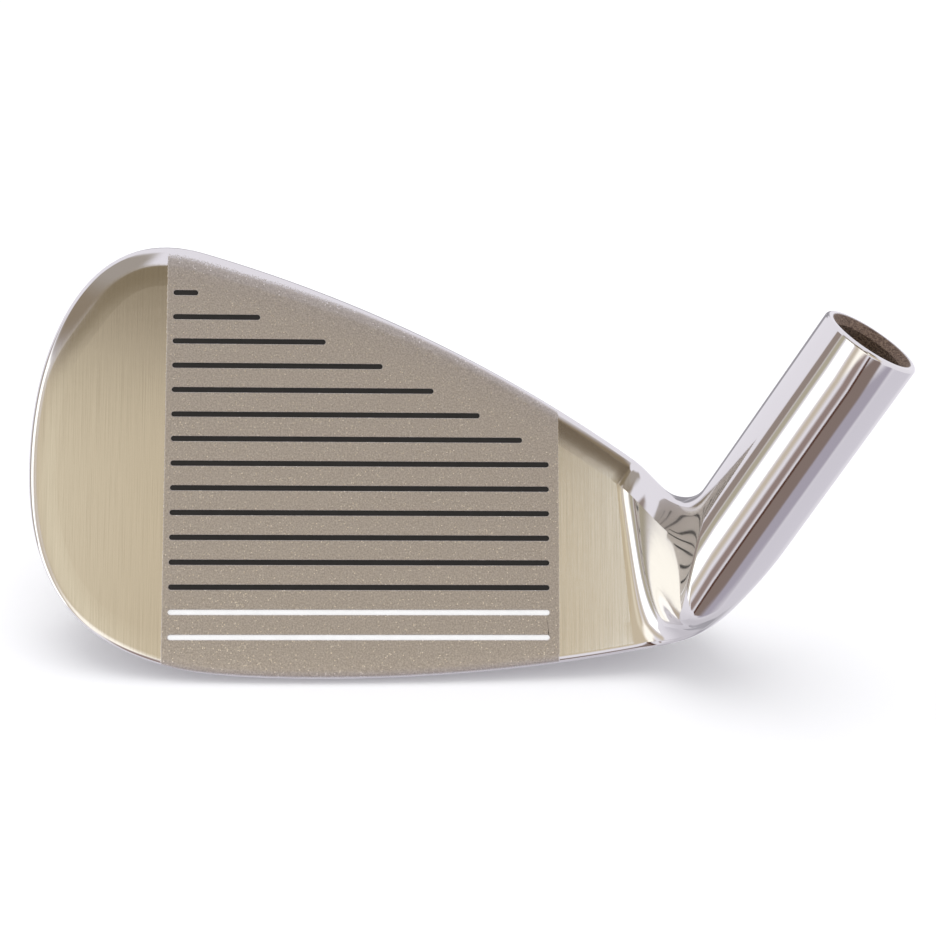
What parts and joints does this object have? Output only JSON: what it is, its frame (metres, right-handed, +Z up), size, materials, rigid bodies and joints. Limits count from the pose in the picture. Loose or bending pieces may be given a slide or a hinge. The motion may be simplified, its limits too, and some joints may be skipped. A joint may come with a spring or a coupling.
{
  "type": "golf iron head",
  "caption": "Cavity-back golf iron head with a grooved face, an offset neck and a hosel bored for a parallel-tip shaft.",
  "frame": {"origin": "on the hosel's axis, where the straight bore starts under its countersink", "axes": "+X towards the heel along the score lines, -Y towards the target, +Z up with the head at address; the hosel rises at 62 degrees from +X and the face leans back 34 degrees"},
  "size_m": [0.1161, 0.0413, 0.053],
  "materials": {
    "polished_steel": "mirror-polished stainless steel, bead-blasted across the score lines and brushed at toe and heel",
    "badge_polymer": "satin moulded polymer",
    "adhesive": "matte foam tape",
    "dark_paint": "satin black paint",
    "white_paint": "satin white paint"
  },
  "bodies": {
    "root": {"head_body": "polished_steel", "cavity_badge": "badge_polymer", "badge_adhesive": "adhesive", "score_paint_01": "dark_paint", "score_paint_02": "dark_paint", "score_paint_03": "dark_paint", "score_paint_04": "dark_paint", "score_paint_05": "dark_paint", "score_paint_06": "dark_paint", "score_paint_07": "dark_paint", "score_paint_08": "dark_paint", "score_paint_09": "dark_paint", "score_paint_10": "dark_paint", "score_paint_11": "dark_paint", "score_paint_12": "dark_paint", "score_paint_13": "dark_paint", "score_paint_14": "white_paint", "score_paint_15": "white_paint"}
  },
  "joints": []
}
